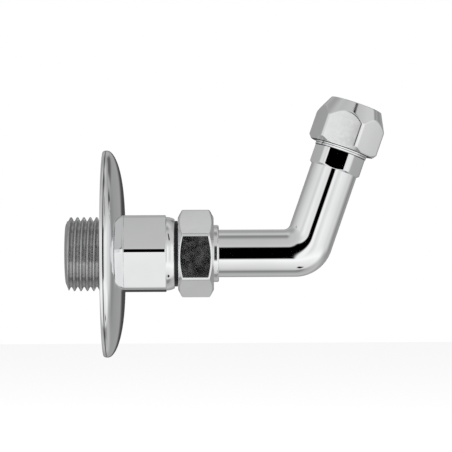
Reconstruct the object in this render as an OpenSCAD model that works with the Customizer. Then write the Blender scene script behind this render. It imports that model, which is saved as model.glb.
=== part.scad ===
// Angle fitting for a wall outlet: threaded nipple with a domed rosette, union nut,
// cast elbow and a compression end for a plain pipe.
// The origin is on the thread axis in the wall plane. +X points out of the wall and +Z is up.
// The bend lies in the XZ plane.

/* [Wall nipple] */
// Outside diameter of the wall thread, a G 1/2 pipe thread
wall_thread_d = 20.955; // [17.4:0.005:25.2]
// How far the threaded stub reaches behind the wall plane
wall_insert = 10.6; // [8:0.1:16]
// Depth of the chamfer on the end of the stub
wall_lead_drop = 2.3; // [1:0.1:3]
// Length of the chamfer on the end of the stub
wall_lead_len = 0.9; // [0.5:0.1:2]
// Depth of the thread relief below the thread's outside
relief_depth = 1.25; // [0.8:0.05:2]
// Width of the thread relief
relief_w = 2; // [1:0.1:2.5]
// Width of the land that centres the rosette
land_w = 1.5; // [1:0.1:2]
// Waterway through the nipple
nipple_bore_d = 10; // [8:0.1:11.5]
// Flare at the wall end of the waterway
bore_flare = 1; // [0.3:0.1:2]
// How much the nipple hexagon, across its flats, exceeds the wall thread
nipple_over = 0.045; // [0.005:0.005:4]
// Length of the nipple hexagon
nipple_hex_len = 11.8; // [8:0.1:18]
// Length of the turned shoulder after the hexagon
shoulder_len = 2.4; // [1.5:0.1:3.5]
// How far the shoulder stays inside the hexagon's flats
shoulder_drop = 0.1; // [0:0.05:0.6]
// Radius of the shoulder's crowned edge, seen in section
shoulder_crown_r = 5; // [4:0.1:10]
// Step from the shoulder down to the neck at the union nut
nipple_neck_drop = 0.5; // [0.2:0.05:1.5]
// How far the hexagon stands turned about the axis
nipple_turn = 26.4; // [0:0.1:60]

/* [Rosette] */
// Outside diameter of the rosette
rosette_d = 58.5; // [48:0.1:75]
// Height of the rosette above the wall
rosette_h = 5.95; // [5:0.05:9]
// Thickness of the rosette's sheet
rosette_sheet = 0.8; // [0.5:0.05:1.2]
// Height of the straight rim that stands on the wall
rosette_rim_h = 1.2; // [0.6:0.1:2]
// Width of the flat crown that the hexagon clamps
rosette_crown_w = 1.6; // [1:0.1:4]

/* [Union] */
// Room between the retaining ring and the nut's threaded bore, which sets a G 3/8 pipe thread
union_play = 0.98; // [0.5:0.01:2]
// Wall of the union nut at its flats
union_wall = 2.57; // [1.5:0.01:5]
// Length of the union nut's hexagon
union_len = 10.1; // [9.4:0.1:14]
// How far the nut's chamfers reach in over its flats
union_face_drop = 0.8; // [0.1:0.1:1.2]
// Wall of the round neck on the union nut
union_neck_wall = 1.23; // [0.8:0.01:2]
// Length of the round neck on the union nut
union_neck_len = 1.45; // [1:0.05:2.5]
// Edge break at the end of the round neck
union_neck_edge = 0.35; // [0.1:0.05:0.7]
// Thickness of the nut's inner floor, neck included
union_floor_t = 2.4; // [1.8:0.1:3]
// Open gap between the nipple's shoulder and the union nut
union_gap = 0.97; // [0.5:0.01:2]
// How far the union nut stands turned about the axis
union_turn = 6.4; // [0:0.1:60]
// Thickness of the flat gasket
gasket_t = 2; // [1:0.1:2.6]
// Room between the gasket and the nut's threaded bore
gasket_play = 0.9; // [0.5:0.05:1.2]
// Wire diameter of the retaining ring
wire_d = 1.4; // [1:0.05:1.6]
// Opening of the retaining ring, as an angle
wire_open = 35; // [15:1:60]
// Length of the tube's lip in front of the retaining ring
tube_lip = 0.85; // [0.6:0.05:1.2]

/* [Elbow] */
// Outside diameter of the elbow's tube
tube_d = 13.4; // [11.2:0.02:16.1]
// Straight run from the union nut to the corner of the axes
run_len = 24.5; // [18:0.1:45]
// Angle through which the elbow turns upwards
bend_angle = 70.6; // [40:0.1:90]
// Radius of the fillet inside the bend
bend_inner_r = 2; // [1:0.1:5]
// Radius round the outside of the bend
bend_outer_r = 10.8; // [9:0.1:14]
// Centreline radius of the waterway at the bend
bend_bore_r = 6.6; // [5.5:0.1:7.5]
// Straight arm from the corner of the axes to the hexagon collar
arm_len = 24.85; // [18:0.5:45]
// How far the flats of the hexagon collar stand above the tube
collar_over = 0.05; // [0.02:0.01:1]
// How much each corner of the hexagon collar is turned off, on the radius
collar_trim = 0.45; // [0:0.01:0.6]
// Length of the hexagon collar
collar_len = 5.4; // [4:0.1:9]
// How far the hexagon collar stands turned about the arm
collar_turn = -5; // [-30:0.1:30]
// Length of the shank that shows between the collar and the nut
shank_show = 1.2; // [0.6:0.1:3]

/* [Compression end] */
// Outside diameter of the pipe that the fitting takes
pipe_d = 10; // [8:0.1:12]
// Step in the elbow that stops the pipe
pipe_stop = 0.6; // [0.3:0.1:1.2]
// How far the pipe goes into the elbow below the mouth cone
socket_depth = 9; // [6:0.1:12]
// Wall of the elbow's mouth inside the compression thread
mouth_wall = 1.2; // [0.8:0.05:2]
// Angle of the seats for the olive to the pipe
cone_angle = 30; // [25:1:40]
// Wall of the compression nut at its flats
comp_wall = 1.4; // [1:0.05:4]
// Length of the compression nut
comp_len = 13; // [12.8:0.1:17]
// Length of the nut's tapered top
comp_taper_len = 5.3; // [3.5:0.1:6]
// Wall of the nut at its top face
comp_top_wall = 2.3; // [1.2:0.1:3]
// How far the lower chamfer ends outside the flats
comp_foot_over = 0.1; // [0.05:0.05:0.5]
// Angle of the lower chamfer to the nut's lower face
comp_foot_angle = 47; // [30:1:60]
// Chamfer in the mouth of the nut's pipe bore
comp_mouth = 0.4; // [0.1:0.05:0.8]
// Length of the thread inside the compression nut
comp_thread_len = 8.05; // [6.5:0.05:8.4]
// How far the compression nut stands turned about the arm
comp_turn = -10.7; // [-30:0.1:30]
// Wall of the olive at its middle
olive_wall = 1.05; // [0.8:0.05:1.4]
// Wall of the olive at its thin ends
olive_edge = 0.25; // [0.15:0.05:0.4]
// Length of the olive's straight middle
olive_land = 1; // [0.5:0.1:2]

/* [Edges and clearances] */
// How much each hexagon corner is turned off, on the radius
corner_trim = 0.29; // [0:0.01:0.5]
// Angle of the turned chamfers on the hexagons
chamfer_angle = 28; // [15:1:40]
// Edge break on the union thread and on the collar
edge_break = 0.6; // [0.3:0.05:0.9]
// Radial clearance between a thread and its nut
thread_gap = 0.1; // [0.05:0.01:0.2]
// Radial clearance of the pipe in its bores
pipe_gap = 0.1; // [0.05:0.01:0.2]
// Radial clearance of the rosette on its land
rosette_gap = 0.15; // [0.05:0.01:0.4]
// Radial clearance of the union nut's neck on the tube
neck_gap = 0.12; // [0.05:0.01:0.3]
// Clearance of the retaining ring in its groove and of the olive in its cones
seat_gap = 0.05; // [0.02:0.01:0.1]
// Gap between the nipple's neck and the face of the union nut
face_gap = 0.1; // [0.05:0.01:0.3]
// Room round the olive in the elbow's mouth
olive_gap = 0.15; // [0.05:0.01:0.3]
// Room between the elbow's end and the inner floor of the compression nut
shank_gap = 0.5; // [0.3:0.05:1]

/* [Hidden] */
$fn = 96;
// How far a cut runs past the face that it leaves
over = 1;

chrome = [0.82, 0.83, 0.85];
chrome_shade = [0.72, 0.73, 0.76];
chrome_light = [0.88, 0.89, 0.91];
raw_brass = [0.78, 0.62, 0.30];
spring_steel = [0.45, 0.46, 0.48];
seal_fibre = [0.20, 0.35, 0.28];

// Radii on the wall axis
wall_thread_r = wall_thread_d / 2;
nipple_af = wall_thread_d + nipple_over;
shoulder_r = nipple_af / 2 - shoulder_drop;
tube_r = tube_d / 2;
groove_r = tube_r - wire_d / 2;
wire_ring_r = groove_r + seat_gap + wire_d / 2;
union_bore_r = wire_ring_r + wire_d / 2 + union_play;
union_thread_r = union_bore_r - thread_gap;
union_af = 2 * (union_bore_r + union_wall);
union_neck_bore_r = tube_r + neck_gap;
gasket_r = union_bore_r - gasket_play;

// Radii on the arm
pipe_bore_r = pipe_d / 2 + pipe_gap;
tube_bore_r = pipe_bore_r - pipe_stop;
olive_r = pipe_bore_r + olive_wall;
mouth_r = olive_r + olive_gap;
comp_thread_r = mouth_r + mouth_wall;
comp_bore_r = comp_thread_r + thread_gap;
comp_af = 2 * (comp_bore_r + comp_wall);
collar_af = tube_d + 2 * collar_over;

// Stations along the wall axis
stub_x = -wall_insert;
seat_x = rosette_h;
land_x = seat_x - land_w;
relief_x = land_x - relief_w;
hex_end_x = seat_x + nipple_hex_len;
shoulder_x = hex_end_x + shoulder_len;
union_x = shoulder_x + union_gap;
neck_x = union_x + union_len;
neck_end_x = neck_x + union_neck_len;
floor_x = neck_end_x - union_floor_t;
wire_x = floor_x - seat_gap - wire_d / 2;
groove_w = wire_d + 2 * seat_gap;
tube_x = wire_x - groove_w / 2 - tube_lip;
nipple_end_x = tube_x - gasket_t;
nipple_neck_end_x = union_x - face_gap;
corner_x = neck_end_x + run_len;

// Stations along the arm, from the corner of the axes
collar_end = arm_len + collar_len;
comp_start = collar_end + shank_show;
comp_end = comp_start + comp_len;
comp_floor = comp_start + comp_thread_len;
shank_end = comp_floor - shank_gap;
mouth_start = shank_end - (mouth_r - pipe_bore_r) / tan(cone_angle);
socket_end = mouth_start - socket_depth;

// Olive: its cones run parallel to the seats in the elbow and in the nut
seat_lead = 2 * seat_gap;
olive_edge_r = pipe_bore_r + olive_edge;
olive_cone = (olive_r - olive_edge_r) / tan(cone_angle);
olive_start = mouth_start + (olive_edge_r + seat_gap - pipe_bore_r) / tan(cone_angle);
olive_end = olive_start + 2 * olive_cone + olive_land;
seat_r = olive_r + seat_gap + seat_lead * tan(cone_angle);
seat_start = olive_end - olive_cone - seat_lead;
seat_end = seat_start + (seat_r - pipe_bore_r) / tan(cone_angle);

// Cast bend: its skin is a loft that starts inside the straight tubes, a hair under their surface
bend_sides = 48;
bend_rings = 14;
bend_tuck = 0.5;
bend_reach = (bend_inner_r + tube_r) * tan(bend_angle / 2) + 2 * bend_tuck;
skin = 0.02;
bore_reach = bend_bore_r * tan(bend_angle / 2);

// Radius of a hexagon's turned corners
function corner_r(af, trim = corner_trim) = af / 2 / cos(30) - trim;

// Length of a chamfer that runs from radius a to radius b
function chamfer_len(a, b, angle = chamfer_angle) = (b - a) * tan(angle);

// Points of a quarter ellipse from its outer end to its crown
function quarter_ellipse(cx, cy, rx, ry, steps) =
    [for (i = [0 : steps]) [cx + rx * cos(90 * i / steps), cy + ry * sin(90 * i / steps)]];

// Radius of the bend's guide arc at an angle round the tube, 0 on the inside
function guide_r(turn) =
    (bend_inner_r + bend_outer_r) / 2 - (bend_outer_r - bend_inner_r) / 2 * cos(turn);

// Point on the bend's skin, at a share of the bend and an angle round the tube
function bend_point(share, turn, r) =
    let (c = r * cos(turn), g = guide_r(turn), a = -90 + share * bend_angle)
    [-(c + g) * tan(bend_angle / 2) + g * cos(a), r * sin(turn), c + g + g * sin(a)];

// Ring of the tube's section on the run or on the arm, a distance from the corner
function run_ring(distance, r) =
    [for (k = [0 : bend_sides - 1]) let (t = 360 * k / bend_sides)
        [-distance, r * sin(t), r * cos(t)]];
function arm_ring(distance, r) =
    [for (k = [0 : bend_sides - 1]) let (t = 360 * k / bend_sides, c = r * cos(t))
        [distance * cos(bend_angle) - c * sin(bend_angle), r * sin(t),
         distance * sin(bend_angle) + c * cos(bend_angle)]];

// Turns +Z to the wall axis
module along_run() {
    rotate([0, 90, 0]) children();
}

// Turns +Z to the arm's axis, from the corner of the axes
module along_arm() {
    translate([corner_x, 0, 0]) rotate([0, 90 - bend_angle, 0]) children();
}

// Solid of revolution about +Z, from points given as radius and height
module turned(points) {
    rotate_extrude() polygon(points);
}

// Straight hole along +Z
module hole(r, from, to) {
    translate([0, 0, from]) cylinder(r = r, h = to - from);
}

// Hexagon bar with turned corners, cut to the given turned outline
module turned_hex(af, from, to, turn, outline) {
    intersection() {
        translate([0, 0, from]) rotate([0, 0, turn])
            cylinder(r = af / 2 / cos(30), h = to - from, $fn = 6);
        turned(outline);
    }
}

// Hexagon with a turned chamfer at both ends
module nut_hex(af, from, to, face_r, turn) {
    r = corner_r(af);
    c = chamfer_len(face_r, r);
    turned_hex(af, from, to, turn, [
        [0, from], [face_r, from], [r, from + c], [r, to - c], [face_r, to], [0, to]]);
}

// Nipple: wall stub, relief, land, hexagon, crowned shoulder and union thread
module wall_nipple() {
    crown_steps = 8;
    crown = [for (i = [0 : crown_steps]) let (d = shoulder_len * i / crown_steps)
        [shoulder_r - shoulder_crown_r + sqrt(pow(shoulder_crown_r, 2) - d * d), hex_end_x + d]];
    stub = [
        [0, stub_x], [wall_thread_r - wall_lead_drop, stub_x],
        [wall_thread_r, stub_x + wall_lead_len], [wall_thread_r, relief_x],
        [wall_thread_r - relief_depth, relief_x], [wall_thread_r - relief_depth, land_x],
        [wall_thread_r, land_x], [wall_thread_r, seat_x], [0, seat_x]];
    neck_r = crown[crown_steps][0] - nipple_neck_drop;
    spigot = [
        [neck_r, shoulder_x], [neck_r, nipple_neck_end_x],
        [union_thread_r, nipple_neck_end_x], [union_thread_r, nipple_end_x - edge_break],
        [union_thread_r - edge_break, nipple_end_x], [0, nipple_end_x]];
    bore_r = nipple_bore_d / 2;
    color(chrome) along_run() difference() {
        union() {
            turned(stub);
            turned_hex(nipple_af, seat_x, hex_end_x, nipple_turn, [
                [0, seat_x], [corner_r(nipple_af), seat_x],
                [corner_r(nipple_af), hex_end_x], [0, hex_end_x]]);
            turned(concat([[0, hex_end_x]], crown, spigot));
        }
        hole(bore_r, stub_x - over, nipple_end_x + over);
        turned([
            [0, stub_x - over], [bore_r + bore_flare + over, stub_x - over],
            [bore_r, stub_x + bore_flare], [0, stub_x + bore_flare]]);
    }
}

// Rosette: spun dome with a straight rim, hollow towards the wall
module rosette() {
    hole_r = wall_thread_r + rosette_gap;
    crown_r = hole_r + rosette_crown_w;
    rim_r = rosette_d / 2;
    steps = 20;
    outer = quarter_ellipse(crown_r, rosette_rim_h, rim_r - crown_r, rosette_h - rosette_rim_h, steps);
    inner = quarter_ellipse(crown_r, rosette_rim_h, rim_r - crown_r - rosette_sheet,
                            rosette_h - rosette_rim_h - rosette_sheet, steps);
    inner_back = [for (i = [steps : -1 : 0]) inner[i]];
    color(chrome_light) along_run() turned(concat(
        [[rim_r, 0]], outer, [[hole_r, rosette_h], [hole_r, rosette_h - rosette_sheet]],
        inner_back, [[rim_r - rosette_sheet, 0]]));
}

// Flat gasket between the nipple and the elbow
module union_gasket() {
    color(seal_fibre) along_run() difference() {
        hole(gasket_r, nipple_end_x, tube_x);
        hole(nipple_bore_d / 2, nipple_end_x - over, tube_x + over);
    }
}

// Open wire ring that holds the union nut on the elbow
module retaining_ring() {
    color(spring_steel) along_run() translate([0, 0, wire_x]) rotate([0, 0, wire_open / 2])
        rotate_extrude(angle = 360 - wire_open) translate([wire_ring_r, 0]) circle(d = wire_d);
}

// Union nut: chamfered hexagon, round neck, threaded chamber and inner floor
module union_nut() {
    neck_r = union_neck_bore_r + union_neck_wall;
    face_r = union_af / 2 - union_face_drop;
    color(chrome) along_run() difference() {
        union() {
            nut_hex(union_af, union_x, neck_x, face_r, union_turn);
            turned([
                [0, neck_x - over], [neck_r, neck_x - over], [neck_r, neck_end_x - union_neck_edge],
                [neck_r - union_neck_edge, neck_end_x], [0, neck_end_x]]);
        }
        hole(union_bore_r, union_x - over, floor_x);
        hole(union_neck_bore_r, floor_x - over, neck_end_x + over);
    }
}

// Outer skin of the cast bend, with a tight inside and a wider outside
module bend_skin() {
    r = tube_r - skin;
    rings = concat(
        [run_ring(bend_reach, r)],
        [for (i = [0 : bend_rings])
            [for (k = [0 : bend_sides - 1]) bend_point(i / bend_rings, 360 * k / bend_sides, r)]],
        [arm_ring(bend_reach, r)]);
    count = len(rings);
    points = [for (ring = rings) for (p = ring) p];
    walls = [for (i = [0 : count - 2]) for (k = [0 : bend_sides - 1])
        let (a = i * bend_sides + k, b = i * bend_sides + (k + 1) % bend_sides)
        for (face = [[a, b, b + bend_sides], [a, b + bend_sides, a + bend_sides]]) face];
    start = [for (k = [bend_sides - 1 : -1 : 0]) k];
    end = [for (k = [0 : bend_sides - 1]) (count - 1) * bend_sides + k];
    translate([corner_x, 0, 0]) polyhedron(points, concat(walls, [start, end]), convexity = 4);
}

// Waterway through the bend
module bend_bore() {
    translate([corner_x - bore_reach, 0, bend_bore_r]) rotate([90, 0, 0]) rotate([0, 0, -90])
        rotate_extrude(angle = bend_angle) translate([bend_bore_r, 0]) circle(r = tube_bore_r);
}

// Elbow: grooved spigot, run, cast bend, arm, hexagon collar and compression thread
module elbow() {
    collar_r = corner_r(collar_af, collar_trim);
    color(chrome) difference() {
        union() {
            along_run() hole(tube_r, tube_x, corner_x - bend_reach + bend_tuck);
            bend_skin();
            along_arm() {
                hole(tube_r, bend_reach - bend_tuck, arm_len);
                turned_hex(collar_af, arm_len, collar_end, collar_turn, [
                    [0, arm_len], [tube_r, arm_len],
                    [collar_r, arm_len + edge_break], [collar_r, collar_end], [0, collar_end]]);
                turned([
                    [0, collar_end], [comp_thread_r, collar_end],
                    [comp_thread_r, shank_end - edge_break],
                    [comp_thread_r - edge_break, shank_end], [0, shank_end]]);
            }
        }
        along_run() {
            hole(tube_bore_r, tube_x - over, corner_x - bore_reach);
            difference() {
                hole(tube_r + over, wire_x - groove_w / 2, wire_x + groove_w / 2);
                hole(groove_r, wire_x - groove_w, wire_x + groove_w);
            }
        }
        bend_bore();
        along_arm() {
            hole(tube_bore_r, bore_reach, socket_end + over);
            hole(pipe_bore_r, socket_end, shank_end + over);
            turned([
                [0, mouth_start], [pipe_bore_r, mouth_start], [mouth_r, shank_end],
                [mouth_r, shank_end + over], [0, shank_end + over]]);
        }
    }
}

// Olive: brass ring with a cone at each end
module olive() {
    color(raw_brass) along_arm() difference() {
        turned([
            [0, olive_start], [olive_edge_r, olive_start], [olive_r, olive_start + olive_cone],
            [olive_r, olive_end - olive_cone], [olive_edge_r, olive_end], [0, olive_end]]);
        hole(pipe_bore_r, olive_start - over, olive_end + over);
    }
}

// Compression nut: hexagon with a tapered top, threaded chamber and olive seat
module compression_nut() {
    r = corner_r(comp_af);
    foot_r = comp_af / 2 + comp_foot_over;
    top_r = pipe_bore_r + comp_top_wall;
    foot_end = comp_start + chamfer_len(foot_r, r, comp_foot_angle);
    taper_start = comp_end - comp_taper_len;
    rim_r = pipe_bore_r + comp_mouth;
    color(chrome_shade) along_arm() difference() {
        turned_hex(comp_af, comp_start, comp_end, comp_turn, [
            [0, comp_start], [foot_r, comp_start], [r, foot_end],
            [r, taper_start], [top_r, comp_end], [0, comp_end]]);
        hole(comp_bore_r, comp_start - over, comp_floor);
        turned([
            [0, comp_floor - over], [seat_r, comp_floor - over], [seat_r, seat_start],
            [pipe_bore_r, seat_end], [0, seat_end]]);
        hole(pipe_bore_r, comp_floor, comp_end + over);
        turned([
            [0, comp_end - comp_mouth], [pipe_bore_r, comp_end - comp_mouth],
            [rim_r, comp_end], [rim_r, comp_end + over], [0, comp_end + over]]);
    }
}

wall_nipple();
rosette();
union_gasket();
retaining_ring();
union_nut();
elbow();
olive();
compression_nut();
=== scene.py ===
"""Looks of a chromed angle fitting for a wall outlet, built round the frame of its solids.

Sizes of pieces are in millimetres and angles in degrees; meshes are made in metres.
"""

import logging
import math
from collections.abc import Mapping, Sequence
from dataclasses import dataclass, field
from enum import Enum
from typing import Any

import bpy
import numpy as np
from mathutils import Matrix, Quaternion, Vector


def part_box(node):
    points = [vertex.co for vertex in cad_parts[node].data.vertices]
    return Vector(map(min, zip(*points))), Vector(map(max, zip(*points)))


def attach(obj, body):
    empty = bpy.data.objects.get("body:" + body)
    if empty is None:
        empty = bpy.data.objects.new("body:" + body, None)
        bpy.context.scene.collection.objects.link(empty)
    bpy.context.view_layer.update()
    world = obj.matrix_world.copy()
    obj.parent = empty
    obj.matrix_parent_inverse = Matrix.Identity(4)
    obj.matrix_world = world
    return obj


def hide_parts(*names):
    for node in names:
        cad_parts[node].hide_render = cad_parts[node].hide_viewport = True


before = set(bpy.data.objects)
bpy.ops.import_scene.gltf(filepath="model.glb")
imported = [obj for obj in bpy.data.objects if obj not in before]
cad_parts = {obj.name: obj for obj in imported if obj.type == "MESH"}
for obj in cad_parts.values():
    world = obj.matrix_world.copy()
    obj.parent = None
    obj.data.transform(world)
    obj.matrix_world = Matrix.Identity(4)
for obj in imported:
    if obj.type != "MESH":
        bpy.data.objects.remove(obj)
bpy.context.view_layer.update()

LOG = logging.getLogger("angle_fitting")
MM = 0.001
HEX_CORNERS = 6


def display(level: float) -> float:
    """Gives the light value of a grey that shows at that level on screen, from 0 to 1.

    Args:
        level: Grey as it shows in the picture.

    Returns:
        The linear value for a shader or a lamp.
    """
    if level <= 0.04045:
        return level / 12.92
    return ((level + 0.055) / 1.055) ** 2.4


def span(node: str) -> tuple[float, float]:
    """Gives where a node starts and ends along the wall axis.

    Args:
        node: Name of a node of the frame.

    Returns:
        Lowest and highest X in millimetres.
    """
    low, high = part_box(node)
    return low.x / MM, high.x / MM


class Signal:
    """A node's output that can stand in a Python expression."""

    def __init__(self, tree: "ShaderTree", socket: bpy.types.NodeSocket) -> None:
        """Keeps the socket and the tree that it belongs to.

        Args:
            tree: Tree in which further nodes are made.
            socket: Output socket of a node.
        """
        self.tree = tree
        self.socket = socket

    def __add__(self, other: "Signal | float") -> "Signal":
        """Adds a value."""
        return self.tree.math("ADD", self, other)

    def __radd__(self, other: "Signal | float") -> "Signal":
        """Adds itself to a value."""
        return self.tree.math("ADD", other, self)

    def __sub__(self, other: "Signal | float") -> "Signal":
        """Takes a value away."""
        return self.tree.math("SUBTRACT", self, other)

    def __rsub__(self, other: "Signal | float") -> "Signal":
        """Takes itself away from a value."""
        return self.tree.math("SUBTRACT", other, self)

    def __mul__(self, other: "Signal | float") -> "Signal":
        """Multiplies by a value."""
        return self.tree.math("MULTIPLY", self, other)

    def __rmul__(self, other: "Signal | float") -> "Signal":
        """Multiplies a value by itself."""
        return self.tree.math("MULTIPLY", other, self)

    def __truediv__(self, other: "Signal | float") -> "Signal":
        """Divides by a value."""
        return self.tree.math("DIVIDE", self, other)

    def __neg__(self) -> "Signal":
        """Turns the sign."""
        return self.tree.math("MULTIPLY", self, -1.0)

    def step(self, start: float, end: float) -> "Signal":
        """Rises smoothly from 0 to 1.

        Args:
            start: Value at which it leaves 0.
            end: Value at which it reaches 1; below start, it falls instead.

        Returns:
            The smooth step.
        """
        low, high = min(start, end), max(start, end)
        rising = self.tree.node(
            "ShaderNodeMapRange",
            {"interpolation_type": "SMOOTHSTEP"},
            {"Value": self, "From Min": low, "From Max": high},
        )
        made = Signal(self.tree, rising.outputs["Result"])
        return made if start <= end else 1.0 - made

    def band(self, centre: float, half_width: float, feather: float) -> "Signal":
        """Is 1 inside a band and 0 outside.

        Args:
            centre: Middle of the band.
            half_width: Distance from the middle to the middle of its edge.
            feather: Width over which the edge fades.

        Returns:
            The mask.
        """
        away = self.tree.math("ABSOLUTE", self - centre)
        return away.step(half_width + feather / 2, half_width - feather / 2)


class ShaderTree:
    """A node tree that is filled by Python expressions."""

    def __init__(self, tree: bpy.types.NodeTree) -> None:
        """Empties the tree.

        Args:
            tree: Node tree of a material or a world.
        """
        self.tree = tree
        self.tree.nodes.clear()

    def node(
        self,
        kind: str,
        settings: Mapping[str, Any] | None = None,
        sockets: Mapping[str | int, Any] | None = None,
    ) -> bpy.types.Node:
        """Makes a node.

        Args:
            kind: Blender's name of the node type.
            settings: Properties, set first; "stops" fills a ramp with places and grey values.
            sockets: Values or signals of the input sockets, by name or number.

        Returns:
            The new node.
        """
        made = self.tree.nodes.new(kind)
        for name, value in (settings or {}).items():
            if name == "stops":
                self._fill_ramp(made.color_ramp, value)
            else:
                setattr(made, name, value)
        for key, value in (sockets or {}).items():
            if isinstance(value, Signal):
                self.tree.links.new(value.socket, made.inputs[key])
            else:
                made.inputs[key].default_value = value
        return made

    @staticmethod
    def _fill_ramp(ramp: bpy.types.ColorRamp, stops: Sequence[tuple[float, float]]) -> None:
        """Fills a ramp with greys.

        Args:
            ramp: Ramp of a Color Ramp node.
            stops: Place from 0 to 1 and linear grey of each stop.
        """
        ramp.interpolation = "LINEAR"
        while len(ramp.elements) < len(stops):
            ramp.elements.new(1.0)
        for element, (place, grey) in zip(ramp.elements, stops):
            element.position = place
            element.color = (grey, grey, grey, 1.0)

    def math(self, operation: str, *values: "Signal | float") -> Signal:
        """Makes a Math node.

        Args:
            operation: Name of the operation.
            values: Its operands.

        Returns:
            The result.
        """
        made = self.node("ShaderNodeMath", {"operation": operation}, dict(enumerate(values)))
        return Signal(self, made.outputs[0])

    def vector(self, operation: str, *values: Any) -> Signal:
        """Makes a Vector Math node.

        Args:
            operation: Name of the operation.
            values: Its operands.

        Returns:
            The resulting vector.
        """
        made = self.node("ShaderNodeVectorMath", {"operation": operation}, dict(enumerate(values)))
        return Signal(self, made.outputs[0])

    def mix(self, factor: Signal | float, first: Any, second: Any) -> Signal:
        """Mixes two colours.

        Args:
            factor: Share of the second colour.
            first: Colour at 0.
            second: Colour at 1.

        Returns:
            The mixed colour.
        """
        made = self.node(
            "ShaderNodeMix",
            {"data_type": "RGBA"},
            {"Factor": factor, 6: first, 7: second},
        )
        return Signal(self, made.outputs[2])

    def split(self, vector: Signal) -> tuple[Signal, Signal, Signal]:
        """Takes a vector apart.

        Args:
            vector: The vector.

        Returns:
            Its X, Y and Z.
        """
        made = self.node("ShaderNodeSeparateXYZ", None, {0: vector})
        return tuple(Signal(self, made.outputs[i]) for i in range(3))

    def position(self) -> Signal:
        """Gives the place on the piece, in metres."""
        return Signal(self, self.node("ShaderNodeTexCoord").outputs["Object"])

    def noise(self, where: Signal, scale: float, detail: float = 2.0, rough: float = 0.5) -> Signal:
        """Makes a soft random pattern.

        Args:
            where: Place at which it is read.
            scale: Patches a metre.
            detail: Number of finer layers.
            rough: Strength of the finer layers.

        Returns:
            A value that stays round 0.5.
        """
        made = self.node(
            "ShaderNodeTexNoise",
            {"noise_dimensions": "3D"},
            {"Vector": where, "Scale": scale, "Detail": detail, "Roughness": rough},
        )
        return Signal(self, made.outputs[0])


@dataclass(frozen=True)
class Axis:
    """A straight axis in the XZ plane; angles round it count from the side that faces down or right."""

    origin_x: float
    rise: float

    def place(self, along: np.ndarray, radius: np.ndarray, turn: np.ndarray) -> np.ndarray:
        """Turns stations, radii and angles into points.

        Args:
            along: Distances along the axis.
            radius: Distances from the axis.
            turn: Angles round the axis in radians.

        Returns:
            Points in millimetres, with X, Y and Z in the last dimension.
        """
        c, s = math.cos(math.radians(self.rise)), math.sin(math.radians(self.rise))
        across = radius * np.cos(turn)
        x = self.origin_x + along * c + across * s
        y = radius * np.sin(turn)
        z = along * s - across * c
        return np.stack([x, y, z], axis=-1)


@dataclass(frozen=True)
class Hexagon:
    """A hexagon with turned corners and lightly buffed flats."""

    flats: float
    trim: float
    turn: float
    blend: float = 0.13
    crown: float = 0.02

    @property
    def corner_r(self) -> float:
        """Radius of the turned corners."""
        return self.flats / 2 / math.cos(math.radians(30)) - self.trim

    @property
    def band_edge(self) -> float:
        """Angle from the middle of a flat to the edge of the turned corner, in radians."""
        return math.acos(self.flats / 2 / self.corner_r)

    def radius(self, turns: np.ndarray) -> np.ndarray:
        """Gives the distance from the axis to the surface.

        Args:
            turns: Angles round the axis in radians.

        Returns:
            One radius for each angle.
        """
        sixth = math.radians(60)
        away = np.mod(turns - math.radians(self.turn), sixth) - sixth / 2
        bulge = self.crown * (1 - (np.tan(away) / math.tan(self.band_edge)) ** 2)
        flat = (self.flats / 2 + np.minimum(bulge, self.crown) - self.crown) / np.cos(away)
        return soft_min(flat, np.full_like(flat, self.corner_r), self.blend)

    def turns_near_edges(self) -> np.ndarray:
        """Gives the angles at which a mesh needs lines to hold the corners' edges.

        Returns:
            Angles in radians.
        """
        offsets = np.array([-0.4, -0.16, -0.09, -0.045, 0.0, 0.045, 0.09, 0.16, 0.4]) / self.corner_r
        found = []
        for face in range(HEX_CORNERS):
            middle = math.radians(self.turn + 30 + 60 * face)
            for side in (-1, 1):
                found.append(middle + side * self.band_edge + offsets)
        return np.concatenate(found)


def soft_min(a: np.ndarray, b: np.ndarray, blend: float) -> np.ndarray:
    """Takes the smaller of two values with a rounded change between them.

    Args:
        a: First values.
        b: Second values.
        blend: Difference at which rounding starts.

    Returns:
        The rounded minimum.
    """
    near = np.maximum(blend - np.abs(a - b), 0) / blend
    return np.minimum(a, b) - near * near * blend / 4


def mesh_turns(count: int, hexagons: Sequence[Hexagon] = ()) -> np.ndarray:
    """Chooses the angles of a turned mesh.

    Args:
        count: Number of evenly spaced angles.
        hexagons: Hexagons whose edges need lines of their own.

    Returns:
        Rising angles in radians, from 0 to a full turn.
    """
    full = 2 * math.pi
    even = np.arange(count) * full / count
    if not hexagons:
        return even
    near = np.sort(np.mod(np.concatenate([h.turns_near_edges() for h in hexagons]), full))
    near = near[np.append(True, np.diff(near) > 0.0008)]
    gap = np.abs(np.mod(even[:, None] - near[None, :] + math.pi, full) - math.pi).min(axis=1)
    return np.sort(np.concatenate([even[gap > full / count * 0.4], near]))


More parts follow.
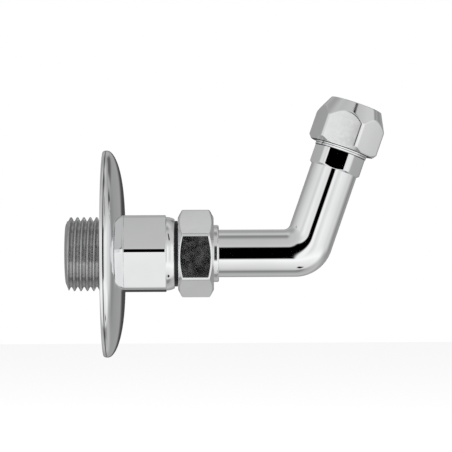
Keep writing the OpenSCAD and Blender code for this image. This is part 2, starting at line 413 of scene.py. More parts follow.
class Outline:
    """The outline of a turned piece, with rounded edges, which may differ from angle to angle."""

    STEPS = 4
    SUPPORT = 0.35

    def __init__(self, turns: np.ndarray) -> None:
        """Starts an empty outline.

        Args:
            turns: Angles of the mesh in radians.
        """
        self.turns = turns
        self.corners: list[np.ndarray] = []
        self.edges: list[float] = []

    def to(self, along: Any, radius: Any, edge: float = 0.0) -> "Outline":
        """Goes on to the next corner.

        Args:
            along: Station along the axis, one number or one for each angle.
            radius: Distance from the axis, one number or one for each angle.
            edge: Distance from the corner at which its rounding starts.

        Returns:
            The outline, to go on from.
        """
        point = np.empty((len(self.turns), 2))
        point[:, 0] = along
        point[:, 1] = radius
        self.corners.append(point)
        self.edges.append(edge)
        return self

    def through(self, points: Sequence[tuple[float, float]]) -> "Outline":
        """Goes along a smooth curve.

        Args:
            points: Stations and radii along the curve.

        Returns:
            The outline, to go on from.
        """
        for along, radius in points:
            self.to(along, radius)
        return self

    def rows(self, closed: bool = True) -> np.ndarray:
        """Rounds the corners.

        Args:
            closed: Whether the last corner joins the first.

        Returns:
            Stations and radii, by row and angle.
        """
        count = len(self.corners)
        made: list[np.ndarray] = []
        for i, (corner, edge) in enumerate(zip(self.corners, self.edges)):
            if edge <= 0 or (not closed and i in (0, count - 1)):
                made.append(corner)
                continue
            back, back_len = self._leg(corner, self.corners[i - 1])
            on, on_len = self._leg(corner, self.corners[(i + 1) % count])
            cut = np.minimum(edge, 0.42 * np.minimum(back_len, on_len))
            start, end = corner + back * cut, corner + on * cut
            made.append(start + back * np.minimum(cut * self.SUPPORT, 0.06 * back_len))
            for step in range(self.STEPS + 1):
                t = step / self.STEPS
                made.append((1 - t) ** 2 * start + 2 * t * (1 - t) * corner + t * t * end)
            made.append(end + on * np.minimum(cut * self.SUPPORT, 0.06 * on_len))
        return np.array(made)

    @staticmethod
    def _leg(corner: np.ndarray, other: np.ndarray) -> tuple[np.ndarray, np.ndarray]:
        """Measures the way to a neighbouring corner.

        Args:
            corner: Corner at each angle.
            other: Neighbour at each angle.

        Returns:
            Direction and length, as columns.
        """
        way = other - corner
        length = np.linalg.norm(way, axis=1, keepdims=True)
        return way / np.maximum(length, 1e-9), length


@dataclass(frozen=True)
class PipeThread:
    """A right-handed pipe thread with the rounded 55 degree form."""

    major_r: float
    pitch: float
    rows_a_pitch: int = 22

    def radius(self, along: np.ndarray, turns: np.ndarray) -> np.ndarray:
        """Gives the thread's surface.

        Args:
            along: Stations along the axis, as rows.
            turns: Angles round the axis in radians, as columns.

        Returns:
            Radii by row and column.
        """
        half_angle = math.radians(27.5)
        depth = 0.640327 * self.pitch
        round_r = 0.137329 * self.pitch
        reach = round_r * math.cos(half_angle)
        phase = along[:, None] / self.pitch + turns[None, :] / (2 * math.pi)
        away = np.abs(np.mod(phase, 1) - 0.5) * self.pitch
        crest = self.major_r - round_r + np.sqrt(np.maximum(round_r**2 - away**2, 0))
        far = self.pitch / 2 - away
        root = self.major_r - depth + round_r - np.sqrt(np.maximum(round_r**2 - far**2, 0))
        flank_top = self.major_r - round_r * (1 - math.sin(half_angle))
        flank = flank_top - (away - reach) / math.tan(half_angle)
        return np.where(away < reach, crest, np.where(far < reach, root, flank))

    def rows(self, start: float, end: float, turns: np.ndarray, limit: Any) -> np.ndarray:
        """Makes the rows of a threaded stretch.

        Args:
            start: First station.
            end: Last station.
            turns: Angles of the mesh in radians.
            limit: Function that gives the largest radius at each station.

        Returns:
            Stations and radii, by row and angle.
        """
        count = max(2, round(abs(end - start) / self.pitch * self.rows_a_pitch))
        along = np.linspace(start, end, count + 1)
        radius = soft_min(self.radius(along, turns), limit(along)[:, None] + 0 * turns[None, :], 0.05)
        return np.stack([np.repeat(along[:, None], len(turns), axis=1), radius], axis=-1)


def closed_mesh(name: str, points: np.ndarray, inner: np.ndarray | None = None) -> bpy.types.Object:
    """Makes a ring-shaped mesh from rows of points; the last row joins the first.

    Args:
        name: Name of the piece.
        points: Points in millimetres, by row, angle and coordinate.
        inner: Which rows belong to the waterway; its faces take the second material.

    Returns:
        The new object, in metres.
    """
    rows, columns = points.shape[:2]
    index = np.arange(rows * columns).reshape(rows, columns)
    right = np.roll(index, -1, axis=1)
    below = np.roll(index, -1, axis=0)
    across = np.roll(right, -1, axis=0)
    faces = np.stack([index, right, across, below], axis=-1).reshape(-1, 4)
    corners = points.reshape(-1, 3) * MM
    a, b, c, d = (corners[faces[:, k]] for k in range(4))
    volume = np.einsum("ij,ij->i", a, np.cross(b, c)).sum() + np.einsum("ij,ij->i", a, np.cross(c, d)).sum()
    if volume < 0:
        faces = faces[:, ::-1]
    mesh = bpy.data.meshes.new(name)
    mesh.from_pydata(corners.tolist(), [], faces.tolist())
    mesh.shade_smooth()
    if inner is not None:
        band = (inner & np.roll(inner, -1)).repeat(columns)
        mesh.polygons.foreach_set("material_index", band.astype(np.int32))
    piece = bpy.data.objects.new(name, mesh)
    bpy.context.scene.collection.objects.link(piece)
    return piece


@dataclass(frozen=True)
class Zone:
    """A stretch along an axis whose colour is painted darker and whose surface is rougher than the rest of the piece;
    on the elbow, the rosette and the nipple's neck the darker colour is painted shade.
    """

    start: float
    end: float
    grey: float
    roughness: float
    feather: float = 0.06
    origin_x: float = 0.0
    rise: float = 0.0

    def mask(self, tree: ShaderTree, where: Signal) -> Signal:
        """Finds the zone.

        Args:
            tree: Tree of the material.
            where: Place on the piece in metres.

        Returns:
            1 inside the zone and 0 outside.
        """
        way = (math.cos(math.radians(self.rise)), 0.0, math.sin(math.radians(self.rise)))
        from_origin = tree.vector("SUBTRACT", where, (self.origin_x * MM, 0.0, 0.0))
        dot = tree.node("ShaderNodeVectorMath", {"operation": "DOT_PRODUCT"}, {0: from_origin, 1: way})
        along = Signal(tree, dot.outputs["Value"]) / MM
        return along.band((self.start + self.end) / 2, (self.end - self.start) / 2, self.feather)


@dataclass(frozen=True)
class Chrome:
    """Bright nickel and chrome plate over brass."""

    tint: tuple[float, float, float] = (0.90, 0.905, 0.91)
    roughness: float = 0.04
    smear: float = 0.02
    ripple: float = 0.05
    ripple_scale: float = 140.0
    grain: float = 0.0
    grain_scale: float = 900.0
    zones: tuple[Zone, ...] = ()

    def dress(self, name: str) -> bpy.types.Material:
        """Makes the material.

        Args:
            name: Name of the material.

        Returns:
            The new material.
        """
        material = bpy.data.materials.new(name)
        material.use_nodes = True
        tree = ShaderTree(material.node_tree)
        where = tree.position()
        film = tree.noise(where, 55.0, 3.0, 0.55)
        shade = tuple(0.955 * c for c in self.tint)
        colour = tree.mix(film.step(0.35, 0.65), (*shade, 1.0), (*self.tint, 1.0))
        handling = tree.noise(where, 420.0, 4.0, 0.6)
        roughness = self.roughness + self.smear * handling.step(0.4, 0.7)
        height = self.ripple * tree.noise(where, self.ripple_scale, 2.0, 0.4)
        if self.grain > 0:
            patches = tree.noise(where, self.grain_scale, 3.0, 0.65)
            roughness = roughness + self.grain * patches.step(0.3, 0.7)
        # Each zone lays a darker colour over its stretch: painted shade in the gaps and under the nuts on the elbow
        # and the nipple's neck, and in the rosette's crease; a darker grey on the wall stub's thread.
        for zone in self.zones:
            inside = zone.mask(tree, where)
            zone_mottle = tree.noise(where, 1400.0, 3.0, 0.6)
            dark, pale = 0.75 * zone.grey, 1.25 * zone.grey
            skin = tree.mix(zone_mottle, (dark, dark, dark, 1.0), (pale, pale, pale, 1.0))
            colour = tree.mix(inside, colour, skin)
            roughness = roughness + inside * (zone.roughness - roughness)
        bump = tree.node(
            "ShaderNodeBump",
            None,
            {"Height": height, "Distance": 0.0002, "Strength": 1.0},
        )
        shader = tree.node(
            "ShaderNodeBsdfPrincipled",
            None,
            {
                "Base Color": colour,
                "Metallic": 1.0,
                "Roughness": roughness,
                "Normal": Signal(tree, bump.outputs["Normal"]),
            },
        )
        tree.node("ShaderNodeOutputMaterial", None, {"Surface": Signal(tree, shader.outputs[0])})
        return material


@dataclass(frozen=True)
class PlainMetal:
    """Metal as it comes from the lathe or the drawing die."""

    colour: tuple[float, float, float]
    dark: tuple[float, float, float]
    roughness: float
    line_scale: float

    def dress(self, name: str) -> bpy.types.Material:
        """Makes the material.

        Args:
            name: Name of the material.

        Returns:
            The new material.
        """
        material = bpy.data.materials.new(name)
        material.use_nodes = True
        tree = ShaderTree(material.node_tree)
        where = tree.position()
        stain = tree.noise(where, 260.0, 4.0, 0.6)
        colour = tree.mix(stain.step(0.3, 0.7), (*self.dark, 1.0), (*self.colour, 1.0))
        lines = tree.noise(where, self.line_scale, 3.0, 0.7)
        bump = tree.node(
            "ShaderNodeBump",
            None,
            {"Height": lines, "Distance": 0.00002, "Strength": 0.6},
        )
        shader = tree.node(
            "ShaderNodeBsdfPrincipled",
            None,
            {
                "Base Color": colour,
                "Metallic": 1.0,
                "Roughness": self.roughness + 0.15 * stain,
                "Normal": Signal(tree, bump.outputs["Normal"]),
            },
        )
        tree.node("ShaderNodeOutputMaterial", None, {"Surface": Signal(tree, shader.outputs[0])})
        return material


@dataclass(frozen=True)
class PressedFibre:
    """Pressed fibre of a flat gasket."""

    colour: tuple[float, float, float] = (0.05, 0.11, 0.075)
    fleck: tuple[float, float, float] = (0.12, 0.19, 0.13)

    def dress(self, name: str) -> bpy.types.Material:
        """Makes the material.

        Args:
            name: Name of the material.

        Returns:
            The new material.
        """
        material = bpy.data.materials.new(name)
        material.use_nodes = True
        tree = ShaderTree(material.node_tree)
        where = tree.position()
        fibres = tree.noise(where, 2400.0, 5.0, 0.7)
        colour = tree.mix(fibres.step(0.5, 0.68), (*self.colour, 1.0), (*self.fleck, 1.0))
        bump = tree.node("ShaderNodeBump", None, {"Height": fibres, "Distance": 0.00005, "Strength": 0.8})
        shader = tree.node(
            "ShaderNodeBsdfPrincipled",
            None,
            {
                "Base Color": colour,
                "Roughness": 0.75 + 0.15 * fibres,
                "Normal": Signal(tree, bump.outputs["Normal"]),
            },
        )
        tree.node("ShaderNodeOutputMaterial", None, {"Surface": Signal(tree, shader.outputs[0])})
        return material


class Finish(Enum):
    """The finishes of this fitting's pieces."""

    # The nipple's second zone paints shade, near black, on the neck and the union thread, in the gap to the union nut
    # and inside it; the first only darkens the wall stub's thread.
    NIPPLE = Chrome(zones=(Zone(-12.0, 2.45, 0.52, 0.15), Zone(20.17, 27.0, 0.04, 0.4)))
    # The rosette's zone paints a near-black line of shade in the crease where the rolled rim meets the dome.
    ROSETTE = Chrome(roughness=0.035, ripple=0.03, zones=(Zone(0.86, 1.12, 0.07, 0.2, 0.2),))
    UNION_NUT = Chrome(roughness=0.105, grain=0.05, grain_scale=520.0)
    COMPRESSION_NUT = Chrome(roughness=0.10, grain=0.04)
    ELBOW = Chrome(
        roughness=0.03,
        ripple=0.08,
        ripple_scale=90.0,
        zones=(
            # These three zones paint shade, near black: thin lines on the shank at the collar's edge and between it
            # and the compression nut, and the shank from just below the nut up into it.
            Zone(30.20, 30.36, 0.03, 0.4, 0.05, 57.17, 70.6),
            Zone(30.82, 30.96, 0.03, 0.4, 0.05, 57.17, 70.6),
            Zone(31.32, 39.4, 0.03, 0.4, 0.05, 57.17, 70.6),
        ),
    )
    WATERWAY = PlainMetal((0.72, 0.53, 0.25), (0.52, 0.36, 0.16), 0.3, 2600.0)
    OLIVE = PlainMetal((0.80, 0.60, 0.28), (0.62, 0.44, 0.18), 0.24, 3000.0)
    WIRE = PlainMetal((0.46, 0.47, 0.49), (0.34, 0.34, 0.36), 0.3, 2200.0)
    GASKET = PressedFibre()

    def dress(self) -> bpy.types.Material:
        """Makes the finish's material, named after it."""
        return self.value.dress(self.name.lower() + "_finish")


@dataclass
class WallNipple:
    """Threaded nipple: stub for the wall, hexagon, crowned shoulder and union thread."""

    seat: float
    hexagon: Hexagon = Hexagon(21.0, 0.29, 26.4)
    thread: PipeThread = PipeThread(10.4775, 1.814)
    union_thread_r: float = 8.33
    lead_r: float = 8.18
    lead_len: float = 0.9
    relief_r: float = 9.2275
    relief_w: float = 2.0
    land_w: float = 1.5
    bore_r: float = 5.0
    bore_flare: float = 1.0
    hex_len: float = 11.8
    shoulder_r: float = 10.4
    shoulder_len: float = 2.4
    shoulder_crown_r: float = 5.0
    neck_drop: float = 0.5
    neck_end: float = 21.02
    spigot_edge: float = 0.6

    def build(self) -> bpy.types.Object:
        """Builds the nipple's mesh.

        Returns:
            The nipple.
        """
        start, end = span("wall_nipple")
        turns = mesh_turns(240, [self.hexagon])
        hex_r = self.hexagon.radius(turns)
        hex_end = self.seat + self.hex_len
        land = self.seat - self.land_w
        relief = land - self.relief_w

        def lead_cone(along: np.ndarray) -> np.ndarray:
            """Gives the chamfer on the stub's end, one radius for each station."""
            slope = (self.thread.major_r - self.lead_r) / self.lead_len
            run_out = np.clip((relief - along) / 0.5, 0, 1)
            return np.minimum(
                self.lead_r + slope * (along - start),
                self.relief_r + (self.thread.major_r - self.relief_r) * run_out,
            )

        front = Outline(turns)
        front.to(start + self.bore_flare, self.bore_r, 0.1)
        front.to(start, self.bore_r + self.bore_flare, 0.1)
        front.to(start, self.lead_r)
        threaded = self.thread.rows(start + 0.03, relief, turns, lead_cone)
        back = Outline(turns)
        back.to(relief + 0.05, self.relief_r)
        back.to(land, self.relief_r, 0.1)
        back.to(land, self.thread.major_r, 0.1)
        back.to(self.seat, self.thread.major_r)
        back.to(self.seat, hex_r, 0.12)
        back.to(hex_end, hex_r, 0.2)
        back.to(hex_end, self.shoulder_r)
        back.through(self._crown(hex_end))
        neck_r = self._crown(hex_end)[-1][1] - self.neck_drop
        back.to(hex_end + self.shoulder_len, neck_r, 0.1)
        back.to(self.neck_end, neck_r, 0.1)
        back.to(self.neck_end, self.union_thread_r, 0.05)
        back.to(end - self.spigot_edge, self.union_thread_r, 0.1)
        back.to(end, self.union_thread_r - self.spigot_edge, 0.1)
        back.to(end, self.bore_r, 0.1)
        rows = np.concatenate([front.rows(False), threaded, back.rows(False)])
        inner = rows[..., 1].max(axis=1) < self.bore_r + self.bore_flare + 0.01
        return closed_mesh("nipple", Axis(0, 0).place(rows[..., 0], rows[..., 1], turns[None, :]), inner)

    def _crown(self, start: float) -> list[tuple[float, float]]:
        """Gives the shoulder's crowned edge.

        Args:
            start: Station of the end of the hexagon.

        Returns:
            Stations and radii of the arc.
        """
        steps = 10
        centre_r = self.shoulder_r - self.shoulder_crown_r
        found = []
        for i in range(1, steps + 1):
            away = self.shoulder_len * i / steps
            found.append((start + away, centre_r + math.sqrt(self.shoulder_crown_r**2 - away**2)))
        return found


@dataclass
class Rosette:
    """Spun dome that covers the wall outlet."""

    sheet: float = 0.8
    rim_h: float = 1.2
    hole_r: float = 10.6275
    crown_r: float = 12.2275
    roll_w: float = 1.0
    roll_drop: float = 0.55

    def build(self) -> bpy.types.Object:
        """Builds the rosette's mesh.

        Returns:
            The rosette.
        """
        low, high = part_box("rosette")
        rim_r, height = high.z / MM, high.x / MM
        turns = mesh_turns(400)
        outline = Outline(turns)
        outline.to(0, rim_r - self.sheet, 0.1)
        outline.through(self._roll(rim_r))
        outline.through(self._dome(rim_r, height))
        outline.to(height, self.hole_r, 0.1)
        outline.to(height - self.sheet, self.hole_r, 0.1)
        outline.through(self._dome(rim_r - self.sheet, height - self.sheet)[::-1])
        rows = outline.rows()
        return closed_mesh("rosette_shell", Axis(0, 0).place(rows[..., 0], rows[..., 1], turns[None, :]))

    def _roll(self, rim_r: float) -> list[tuple[float, float]]:
        """Gives the rolled edge that stands on the wall.

        Args:
            rim_r: Radius of the rim.

        Returns:
            Stations and radii.
        """
        steps = 14
        found = []
        for i in range(steps + 1):
            t = math.pi / 2 * i / steps
            drop = self.roll_drop * (1 - math.sin(t))
            found.append((self.roll_w * (1 - math.cos(t)), rim_r - drop))
        return found

    def _dome(self, rim_r: float, height: float) -> list[tuple[float, float]]:
        """Gives the dome's elliptic outline, from the rim to the crown.

        Args:
            rim_r: Radius of the rim.
            height: Height of the crown.

        Returns:
            Stations and radii.
        """
        steps = 60
        found = []
        for i in range(steps + 1):
            t = math.pi / 2 * i / steps
            along = self.rim_h + (height - self.rim_h) * math.sin(t)
            found.append((along, self.crown_r + (rim_r - self.crown_r) * math.cos(t)))
        return found


@dataclass
class UnionNut:
    """Union nut: hexagon with turned chamfers and a round neck."""

    hexagon: Hexagon = Hexagon(22.0, 0.29, 6.4, crown=0.05)
    bore_r: float = 8.43
    face_r: float = 10.2
    chamfer: float = 28.0
    neck_r: float = 8.05
    neck_len: float = 1.45
    neck_bore_r: float = 6.82
    floor_t: float = 2.4

    def build(self) -> bpy.types.Object:
        """Builds the nut's mesh.

        Returns:
            The union nut.
        """
        start, end = span("union_nut")
        turns = mesh_turns(300, [self.hexagon])
        hex_r = self.hexagon.radius(turns)
        neck = end - self.neck_len
        chamfer = (hex_r - self.face_r) * math.tan(math.radians(self.chamfer))
        outline = Outline(turns)
        outline.to(start, self.bore_r, 0.2)
        outline.to(start, self.face_r, 0.25)
        outline.to(start + chamfer, hex_r, 0.3)
        outline.to(neck - chamfer, hex_r, 0.4)
        outline.to(neck, self.face_r, 0.25)
        outline.to(neck, self.neck_r, 0.1)
        outline.to(end, self.neck_r, 0.7)
        outline.to(end, self.neck_bore_r, 0.1)
        outline.to(end - self.floor_t, self.neck_bore_r, 0.1)
        outline.to(end - self.floor_t, self.bore_r, 0.1)
        rows = outline.rows()
        return closed_mesh("union_nut_body", Axis(0, 0).place(rows[..., 0], rows[..., 1], turns[None, :]))


@dataclass
class Elbow:
    """Cast elbow: spigot, run, tight bend, arm, hexagon collar and compression shank."""

    corner: float = 57.17
    bend: float = 70.6
    tube_r: float = 6.7
    bore_r: float = 4.5
    inner_r: float = 2.0
    outer_r: float = 10.8
    bore_bend_r: float = 6.6
    wire_at: float = 29.52
    groove_r: float = 6.0
    groove_w: float = 1.5
    arm_len: float = 24.85
    collar: Hexagon = Hexagon(13.5, 0.45, -5.0)
    collar_len: float = 5.4
    collar_foot: float = 0.6
    shank_r: float = 7.5
    shank_end: float = 39.0
    mouth_r: float = 6.3
    socket_r: float = 5.1
    mouth_start: float = 36.92
    socket_end: float = 27.92
    bend_rows: int = 48

    def build(self) -> bpy.types.Object:
        """Builds the elbow's mesh.

        Returns:
            The elbow.
        """
        turns = mesh_turns(240, [self.collar])
        run, arm = Axis(0, 0), Axis(self.corner, self.bend)
        spigot, head = self._spigot(turns), self._head(turns)
        skin, bore = self._skin(turns), self._bore(turns)
        parts = [self._placed(run, spigot, turns), skin, self._placed(arm, head, turns), bore]
        inner = np.concatenate([
            spigot[..., 1].max(axis=1) < self.bore_r + 0.4,
            np.zeros(len(skin), dtype=bool),
            head[..., 1].max(axis=1) < self.mouth_r - 0.01,
            np.ones(len(bore), dtype=bool),
        ])
        return closed_mesh("elbow_body", np.concatenate(parts), inner)

    @staticmethod
    def _placed(axis: Axis, rows: np.ndarray, turns: np.ndarray) -> np.ndarray:
        """Places an outline's rows on an axis."""
        return axis.place(rows[..., 0], rows[..., 1], turns[None, :])

    @property
    def _reach(self) -> float:
        """Distance from the corner at which the tubes are straight on every side."""
        return (self.outer_r + self.tube_r) * math.tan(math.radians(self.bend / 2)) + 0.2

    def _spigot(self, turns: np.ndarray) -> np.ndarray:
        """Outlines the grooved end and the run.

        Args:
            turns: Angles of the mesh in radians.

        Returns:
            Stations and radii, by row and angle.
        """
        start = span("elbow")[0]
        before, after = self.wire_at - self.groove_w / 2, self.wire_at + self.groove_w / 2
        outline = Outline(turns)
        outline.to(start, self.bore_r + 0.3)
        outline.to(start, self.tube_r, 0.1)
        outline.to(before, self.tube_r, 0.05)
        outline.to(before, self.groove_r, 0.1)
        outline.to(after, self.groove_r, 0.1)
        outline.to(after, self.tube_r, 0.05)
        outline.to(after + 0.5, self.tube_r)
        return outline.rows(False)

    def _skin(self, turns: np.ndarray) -> np.ndarray:
        """Sweeps the tube round the bend; the guide arc widens from the inside to the outside.

        Args:
            turns: Angles of the mesh in radians.

        Returns:
            Points in millimetres, by row and angle.
        """
        half = math.radians(self.bend / 2)
        inward = -self.tube_r * np.cos(turns)
        guide = (self.inner_r + self.outer_r) / 2 + (self.outer_r - self.inner_r) / 2 * np.cos(turns)
        rows = []
        for i in range(self.bend_rows + 1):
            a = math.radians(-90 + self.bend * i / self.bend_rows)
            x = self.corner - (inward + guide) * math.tan(half) + guide * math.cos(a)
            z = inward + guide + guide * math.sin(a)
            rows.append(np.stack([x, self.tube_r * np.sin(turns), z], axis=-1))
        return np.array(rows)

    def _head(self, turns: np.ndarray) -> np.ndarray:
        """Outlines the collar, the shank, the mouth and the pipe socket.

        Args:
            turns: Angles of the mesh in radians.

        Returns:
            Stations and radii, by row and angle.
        """
        hex_r = self.collar.radius(turns)
        collar_end = self.arm_len + self.collar_len
        outline = Outline(turns)
        outline.to(self.arm_len - 0.6, self.tube_r)
        outline.to(self.arm_len, self.tube_r, 0.1)
        outline.to(self.arm_len + self.collar_foot * (hex_r - self.tube_r + 0.1), hex_r, 0.2)
        outline.to(collar_end, hex_r, 0.12)
        outline.to(collar_end, hex_r - 0.25 * (hex_r - 6.4))
        outline.to(collar_end + 0.02, self.shank_r - 0.15)
        outline.to(collar_end + 0.15, self.shank_r)
        outline.to(self.shank_end - 0.6, self.shank_r, 0.1)
        outline.to(self.shank_end, self.shank_r - 0.6, 0.1)
        outline.to(self.shank_end, self.mouth_r, 0.05)
        outline.to(self.mouth_start, self.socket_r, 0.1)
        outline.to(self.socket_end, self.socket_r, 0.1)
        outline.to(self.socket_end, self.bore_r, 0.1)
        outline.to(self.socket_end - 0.5, self.bore_r)
        return outline.rows(False)

    def _bore(self, turns: np.ndarray) -> np.ndarray:
        """Sweeps the waterway back to the spigot's end.

        Args:
            turns: Angles of the mesh in radians.

        Returns:
            Points in millimetres, by row and angle.
        """
        reach = self.bore_bend_r * math.tan(math.radians(self.bend / 2))
        inward = -self.bore_r * np.cos(turns)
        rows = []
        for i in range(self.bend_rows + 1):
            a = math.radians(-90 + self.bend * (1 - i / self.bend_rows))
            ring = self.bore_bend_r - inward
            x = self.corner - reach + ring * math.cos(a)
            z = self.bore_bend_r + ring * math.sin(a)
            rows.append(np.stack([x, self.bore_r * np.sin(turns), z], axis=-1))
        start = span("elbow")[0]
        for along, radius in ((start + 0.5, self.bore_r), (start + 0.3, self.bore_r), (start, self.bore_r + 0.3)):
            rows.append(Axis(0, 0).place(np.full_like(turns, along), np.full_like(turns, radius), turns))
        return np.array(rows)


@dataclass
class CompressionNut:
    """Compression nut: hexagon with a long tapered top and a bore for the pipe."""

    axis: Axis
    start: float = 31.45
    length: float = 13.0
    hexagon: Hexagon = Hexagon(18.0, 0.29, -10.7, crown=0.04)
    taper_len: float = 5.3
    top_r: float = 7.4
    foot_r: float = 9.1
    foot_angle: float = 47.0
    pipe_r: float = 5.1
    mouth: float = 0.4
    bore_r: float = 7.6
    thread_len: float = 8.05
    seat_r: float = 6.2577
    seat_start: float = 39.7232
    seat_end: float = 41.7283

    def build(self) -> bpy.types.Object:
        """Builds the nut's mesh.

        Returns:
            The compression nut.
        """
        turns = mesh_turns(300, [self.hexagon])
        hex_r = self.hexagon.radius(turns)
        end = self.start + self.length
        foot_r = np.minimum(self.foot_r, hex_r - 0.15)
        foot = (hex_r - foot_r) * math.tan(math.radians(self.foot_angle))
        slope = self.taper_len / (self.hexagon.corner_r - self.top_r)
        taper = (hex_r - self.top_r) * slope
        outline = Outline(turns)
        outline.to(self.start, self.bore_r, 0.1)
        outline.to(self.start, foot_r, 0.08)
        outline.to(self.start + foot, hex_r, 0.08)
        outline.to(end - taper, hex_r, 0.3)
        outline.to(end, self.top_r, 0.2)
        outline.to(end, self.pipe_r + self.mouth, 0.08)
        outline.to(end - self.mouth, self.pipe_r, 0.1)
        outline.to(self.seat_end, self.pipe_r, 0.1)
        outline.to(self.seat_start, self.seat_r, 0.05)
        outline.to(self.start + self.thread_len, self.seat_r, 0.05)
        outline.to(self.start + self.thread_len, self.bore_r, 0.1)
        rows = outline.rows()
        return closed_mesh(
            "compression_nut_body",
            self.axis.place(rows[..., 0], rows[..., 1], turns[None, :]),
        )


@dataclass(frozen=True)
class Fitting:
    """The whole fitting: builds each piece, dresses it and fixes it to the frame."""

    def build(self) -> None:
        """Builds every piece that stands for a node, and dresses the nodes that stay."""
        nipple = WallNipple(seat=span("rosette")[1])
        elbow = Elbow()
        arm = Axis(elbow.corner, elbow.bend)
        self._fit(nipple.build(), "wall_nipple", "nipple_chrome", Finish.NIPPLE)
        self._fit(Rosette().build(), "rosette", "rosette_chrome", Finish.ROSETTE)
        self._fit(UnionNut().build(), "union_nut", "nut_chrome", Finish.UNION_NUT)
        self._fit(elbow.build(), "elbow", "elbow_chrome", Finish.ELBOW)
        self._fit(CompressionNut(arm).build(), "compression_nut", "nut_chrome", Finish.COMPRESSION_NUT)
        for node, finish in (
            ("union_gasket", Finish.GASKET),
            ("retaining_ring", Finish.WIRE),
            ("olive", Finish.OLIVE),
        ):
            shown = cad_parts[node]
            shown.data.materials.clear()
            shown.data.materials.append(finish.dress())
            LOG.info("%s: %d faces kept from the frame", node, len(shown.data.polygons))

    @staticmethod
    def _fit(piece: bpy.types.Object, node: str, slot: str, finish: Finish) -> None:
        """Dresses a piece and lets it stand for its node.

        Args:
            piece: The new piece.
            node: Node that it stands for.
            slot: Not used.
            finish: Its finish.
        """
        piece.data.materials.append(finish.dress())
        piece.data.materials.append(Finish.WATERWAY.dress())
        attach(piece, "root")
        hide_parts(node)
        LOG.info("%s: %d faces for %s", piece.name, len(piece.data.polygons), node)


@dataclass(frozen=True)
class Card:
    """A card in the studio: a soft-edged patch of the room that the metal mirrors."""

    azimuth: float
    elevation: float
    half_width: float
    half_height: float
    feather_w: float
    feather_h: float
    grey: float

    def lay_over(self, tree: ShaderTree, room: Signal, azimuth: Signal, elevation: Signal) -> Signal:
        """Lays the card over the room.

        Args:
            tree: Tree of the world.
            room: Room without the card.
            azimuth: Angle round the fitting in degrees, 0 at the camera and rising to the right.
            elevation: Angle above the level in degrees.

        Returns:
            Room with the card.
        """
        wide = azimuth.band(self.azimuth, self.half_width, self.feather_w)
        high = elevation.band(self.elevation, self.half_height, self.feather_h)
        level = display(self.grey)
        return tree.mix(wide * high, room, (level, level, level, 1.0))


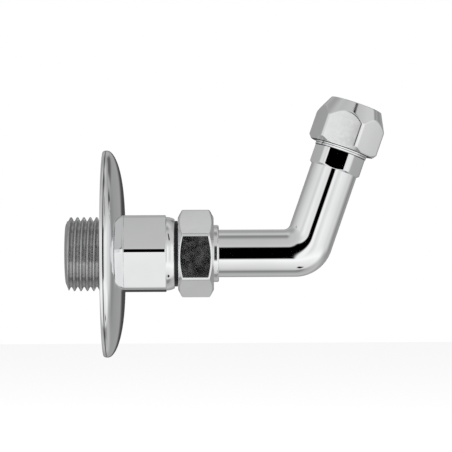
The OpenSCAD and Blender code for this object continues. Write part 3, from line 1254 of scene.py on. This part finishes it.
@dataclass(frozen=True)
class Studio:
    """White studio: a pale floor, a pale room for the metal to mirror, and the dark slot of the camera."""

    metal: float = 0.90
    floor_z: float = -62.0
    floor_size: float = 4000.0
    key_watts: float = 6.0
    camera_slot: Card = Card(-4.2, 0.0, 9.8, 29.0, 5.0, 8.0, 0.0)
    boom: Card = Card(29.0, 52.0, 5.0, 12.0, 4.0, 6.0, 0.05)
    side_stand: Card = Card(110.0, 26.0, 7.0, 7.0, 8.0, 8.0, 0.10)
    far_stand: Card = Card(146.0, 34.0, 18.0, 11.0, 14.0, 12.0, 0.40)
    foot: Card = Card(46.0, -72.0, 17.0, 4.5, 9.0, 4.0, 0.0)

    def build(self) -> None:
        """Builds the floor, the room and the lamp."""
        self._floor()
        self._room()
        self._lamp()

    def _floor(self) -> None:
        """Lays the pale floor, which shows white and keeps the shadow."""
        half = self.floor_size / 2 * MM
        z = self.floor_z * MM
        mesh = bpy.data.meshes.new("studio_floor")
        mesh.from_pydata([(-half, -half, z), (half, -half, z), (half, half, z), (-half, half, z)], [], [(0, 1, 2, 3)])
        floor = bpy.data.objects.new("studio_floor", mesh)
        bpy.context.scene.collection.objects.link(floor)
        floor.visible_glossy = False
        material = bpy.data.materials.new("pale_floor")
        material.use_nodes = True
        tree = ShaderTree(material.node_tree)
        paper = tree.node("ShaderNodeBsdfDiffuse", None, {"Color": (0.95, 0.95, 0.95, 1.0)})
        glow = tree.node("ShaderNodeEmission", None, {"Color": (1.0, 1.0, 1.0, 1.0), "Strength": 1.0})
        rays = tree.node("ShaderNodeLightPath")
        lit = 0.7 * Signal(tree, rays.outputs["Is Camera Ray"])
        mixed = tree.node(
            "ShaderNodeMixShader",
            None,
            {0: lit, 1: Signal(tree, paper.outputs[0]), 2: Signal(tree, glow.outputs[0])},
        )
        tree.node("ShaderNodeOutputMaterial", None, {"Surface": Signal(tree, mixed.outputs[0])})
        floor.data.materials.append(material)

    def _lamp(self) -> None:
        """Hangs a soft lamp that gives the floor its shadow."""
        lamp = bpy.data.lights.new("soft_key", "AREA")
        lamp.shape = "DISK"
        lamp.size = 0.7
        lamp.energy = self.key_watts
        holder = bpy.data.objects.new("soft_key", lamp)
        holder.location = (-0.25, -0.45, 0.75)
        aim = Vector((0.035, 0.0, -0.02)) - holder.location
        holder.rotation_mode = "QUATERNION"
        holder.rotation_quaternion = aim.to_track_quat("-Z", "Y")
        holder.visible_glossy = False
        holder.visible_camera = False
        bpy.context.scene.collection.objects.link(holder)

    def _room(self) -> None:
        """Paints the room: white to the camera, walls and cards to the metal, plain to the rest."""
        world = bpy.data.worlds.new("white_room")
        bpy.context.scene.world = world
        world.use_nodes = True
        world.cycles.sampling_method = "NONE"
        tree = ShaderTree(world.node_tree)
        way = Signal(tree, tree.node("ShaderNodeTexCoord").outputs["Generated"])
        x, y, z = tree.split(tree.vector("NORMALIZE", way))
        degrees = 180 / math.pi
        azimuth = tree.math("ARCTAN2", x, -y) * degrees
        elevation = tree.math("ARCSINE", z) * degrees
        walls = self._greys(tree, azimuth / 360.0 + 0.5, 360, self._wall_greys())
        before = self._greys(tree, elevation / 180.0 + 0.5, 180, self._front_greys())
        behind = self._greys(tree, elevation / 180.0 + 0.5, 180, self._back_greys())
        over = tree.mix(tree.math("ABSOLUTE", azimuth).step(70.0, 110.0), before, behind)
        room = tree.mix(tree.math("ABSOLUTE", elevation).step(14.0, 34.0), walls, over)
        far_wall = display(0.28)
        room = tree.mix(y.step(0.955, 0.99), room, (far_wall, far_wall, far_wall, 1.0))
        for card in (self.far_stand, self.side_stand, self.boom, self.foot, self.camera_slot):
            room = card.lay_over(tree, room, azimuth, elevation)
        rays = tree.node("ShaderNodeLightPath")
        camera = Signal(tree, rays.outputs["Is Camera Ray"])
        metal_rays = tree.math(
            "MAXIMUM",
            Signal(tree, rays.outputs["Is Glossy Ray"]),
            Signal(tree, rays.outputs["Is Transmission Ray"]),
        )
        seen = tree.mix(metal_rays, (0.8, 0.8, 0.8, 1.0), room)
        colour = tree.mix(camera, seen, (1.0, 1.0, 1.0, 1.0))
        light = tree.node("ShaderNodeBackground", None, {"Color": colour, "Strength": 1.0})
        tree.node("ShaderNodeOutputWorld", None, {"Surface": Signal(tree, light.outputs[0])})

    def _greys(self, tree: ShaderTree, place: Signal, turn: float, greys: Sequence[tuple[float, float]]) -> Signal:
        """Turns an angle into a grey.

        Args:
            tree: Tree of the world.
            place: Angle as a share of its whole range.
            turn: The whole range in degrees, with 0 in its middle.
            greys: Angles and the greys that polished metal shows there.

        Returns:
            The grey.
        """
        stops = [(a / turn + 0.5, display(grey) / self.metal) for a, grey in greys]
        made = tree.node("ShaderNodeValToRGB", {"stops": stops}, {0: place})
        return Signal(tree, made.outputs["Color"])

    @staticmethod
    def _wall_greys() -> list[tuple[float, float]]:
        """Greys round the room, 0 at the camera and rising to the right."""
        return [
            (-180, 0.60), (-140, 0.60), (-125, 0.69), (-92, 0.86), (-67, 0.88), (-55, 0.81),
            (-42, 0.93), (-25, 0.88), (14, 0.95), (24, 0.85), (42, 0.93), (66, 0.89), (85, 0.83),
            (98, 0.83), (112, 0.66), (124, 0.53), (140, 0.58), (180, 0.62),
        ]

    @staticmethod
    def _front_greys() -> list[tuple[float, float]]:
        """Greys from the floor to the ceiling on the camera's side."""
        return [
            (-90, 0.75), (-78, 0.83), (-60, 0.88), (-45, 0.93), (-37, 0.97), (30, 0.79), (45, 0.75),
            (66, 0.74), (74, 0.68), (79, 0.60), (85, 0.52), (90, 0.52),
        ]

    @staticmethod
    def _back_greys() -> list[tuple[float, float]]:
        """Greys from the floor to the ceiling on the far side."""
        return [
            (-90, 0.75), (-83, 0.54), (-74, 0.52), (-66, 0.66), (-46, 0.72), (-26, 0.60), (26, 0.69),
            (42, 0.62), (54, 0.62), (64, 0.70), (73, 0.78), (80, 0.71), (87, 0.54), (90, 0.52),
        ]


@dataclass(frozen=True)
class Viewpoint:
    """The camera of the picture, in millimetres."""

    place: tuple[float, float, float] = (28.8, -700.0, -12.5)
    aim: tuple[float, float, float] = (34.74, 0.0, 7.77)
    lens: float = 197.0
    roll: float = -0.3

    def set_up(self) -> None:
        """Creates the camera and makes it the scene's."""
        data = bpy.data.cameras.new("picture_camera")
        data.lens = self.lens
        data.sensor_width = 36.0
        data.clip_start = 0.01
        data.clip_end = 10.0
        camera = bpy.data.objects.new("picture_camera", data)
        camera.location = Vector(self.place) * MM
        way = (Vector(self.aim) - Vector(self.place)).normalized()
        camera.rotation_mode = "QUATERNION"
        lean = Quaternion((0.0, 0.0, 1.0), math.radians(self.roll))
        camera.rotation_quaternion = way.to_track_quat("-Z", "Y") @ lean
        bpy.context.scene.collection.objects.link(camera)
        bpy.context.scene.camera = camera


def main() -> None:
    """Builds the fitting, the studio and the camera in order."""
    logging.basicConfig(level=logging.INFO, format="%(message)s")
    bpy.context.scene.view_settings.view_transform = "Standard"
    Viewpoint().set_up()
    Fitting().build()
    Studio().build()


if __name__ == "__main__":
    main()
